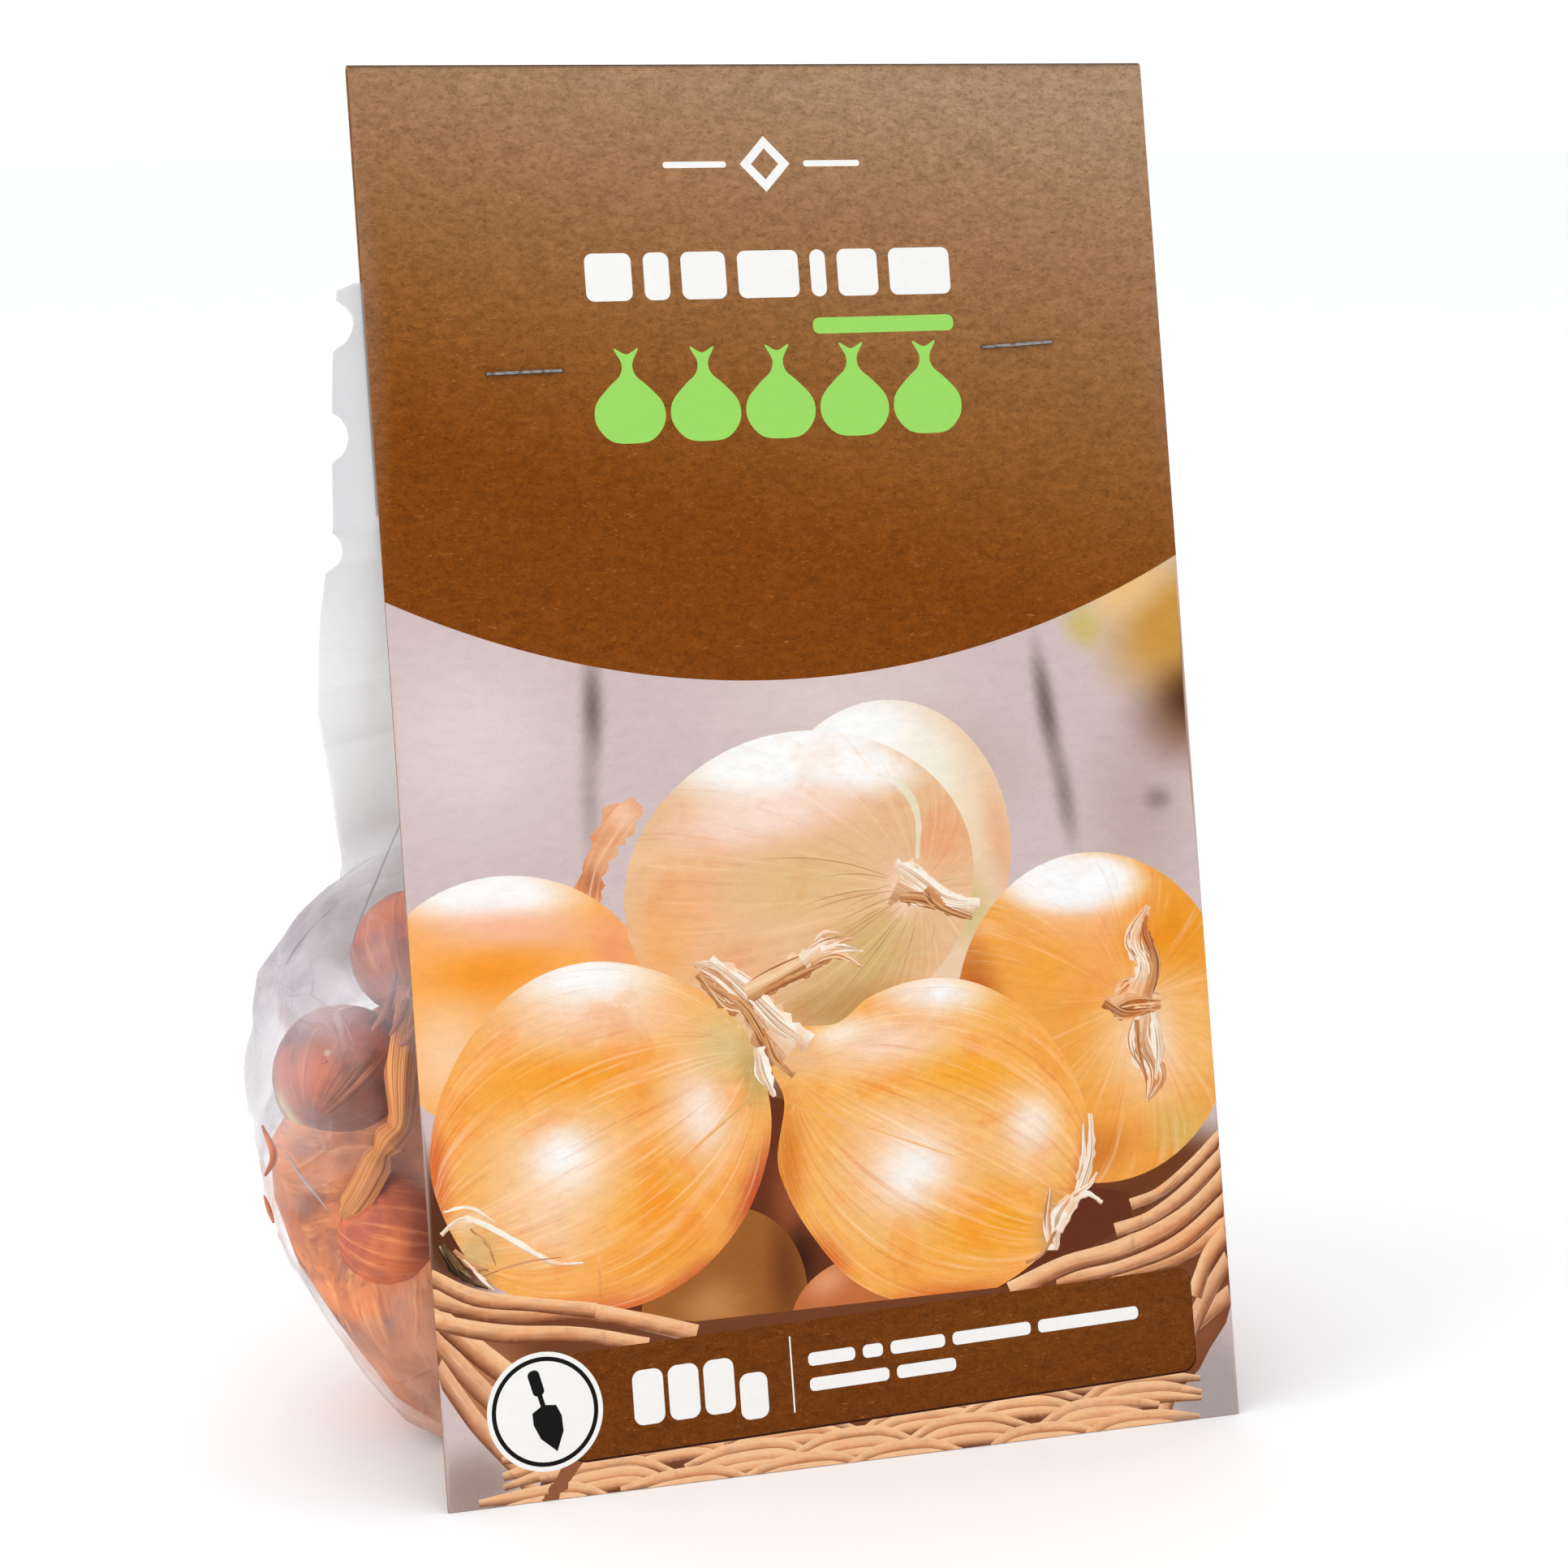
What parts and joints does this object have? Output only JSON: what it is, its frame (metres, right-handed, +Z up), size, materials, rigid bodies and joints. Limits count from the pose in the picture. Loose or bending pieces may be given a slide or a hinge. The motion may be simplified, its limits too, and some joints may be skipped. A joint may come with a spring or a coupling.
{
  "type": "bagged onion set pack",
  "caption": "Pack of loose onion sets in a perforated clear bag, stapled under a folded header card that leans back on the bag.",
  "frame": {"origin": "centre of the pack's footprint box, on the surface it stands on", "axes": "+X along the card's width, to the right as its printed face is read; +Y from the card to the bag; +Z up"},
  "size_m": [0.1569, 0.0838, 0.2178],
  "materials": {
    "kraft_board": "matte, printed",
    "clear_film": "thin, slightly milky, glossy",
    "steel_wire": "bright drawn wire",
    "onion_skin_1": "dry papery skin, satin",
    "onion_skin_2": "dry papery skin, satin",
    "onion_skin_3": "dry papery skin, satin"
  },
  "bodies": {
    "root": {"header_card": "kraft_board", "onion_set_01": "onion_skin_1", "onion_set_02": "onion_skin_2", "onion_set_03": "onion_skin_3", "onion_set_04": "onion_skin_1", "onion_set_05": "onion_skin_2", "onion_set_06": "onion_skin_3", "onion_set_07": "onion_skin_1", "onion_set_08": "onion_skin_2", "onion_set_09": "onion_skin_3", "onion_set_10": "onion_skin_1", "onion_set_11": "onion_skin_2", "onion_set_12": "onion_skin_3", "onion_set_13": "onion_skin_1", "onion_set_14": "onion_skin_2", "onion_set_15": "onion_skin_3", "onion_set_16": "onion_skin_1", "onion_set_17": "onion_skin_2", "onion_set_18": "onion_skin_3", "onion_set_19": "onion_skin_1", "onion_set_20": "onion_skin_2", "onion_set_21": "onion_skin_3", "onion_set_22": "onion_skin_1", "onion_set_23": "onion_skin_2", "onion_set_24": "onion_skin_3", "onion_set_25": "onion_skin_1", "onion_set_26": "onion_skin_2", "onion_set_27": "onion_skin_3", "onion_set_28": "onion_skin_1", "onion_set_29": "onion_skin_2", "onion_set_30": "onion_skin_3", "onion_set_31": "onion_skin_1", "onion_set_32": "onion_skin_2", "onion_set_33": "onion_skin_3", "onion_set_34": "onion_skin_1", "onion_set_35": "onion_skin_2", "onion_set_36": "onion_skin_3", "onion_set_37": "onion_skin_1", "onion_set_38": "onion_skin_2", "onion_set_39": "onion_skin_3", "onion_set_40": "onion_skin_1", "poly_bag": "clear_film", "staple_left": "steel_wire", "staple_right": "steel_wire"}
  },
  "joints": []
}
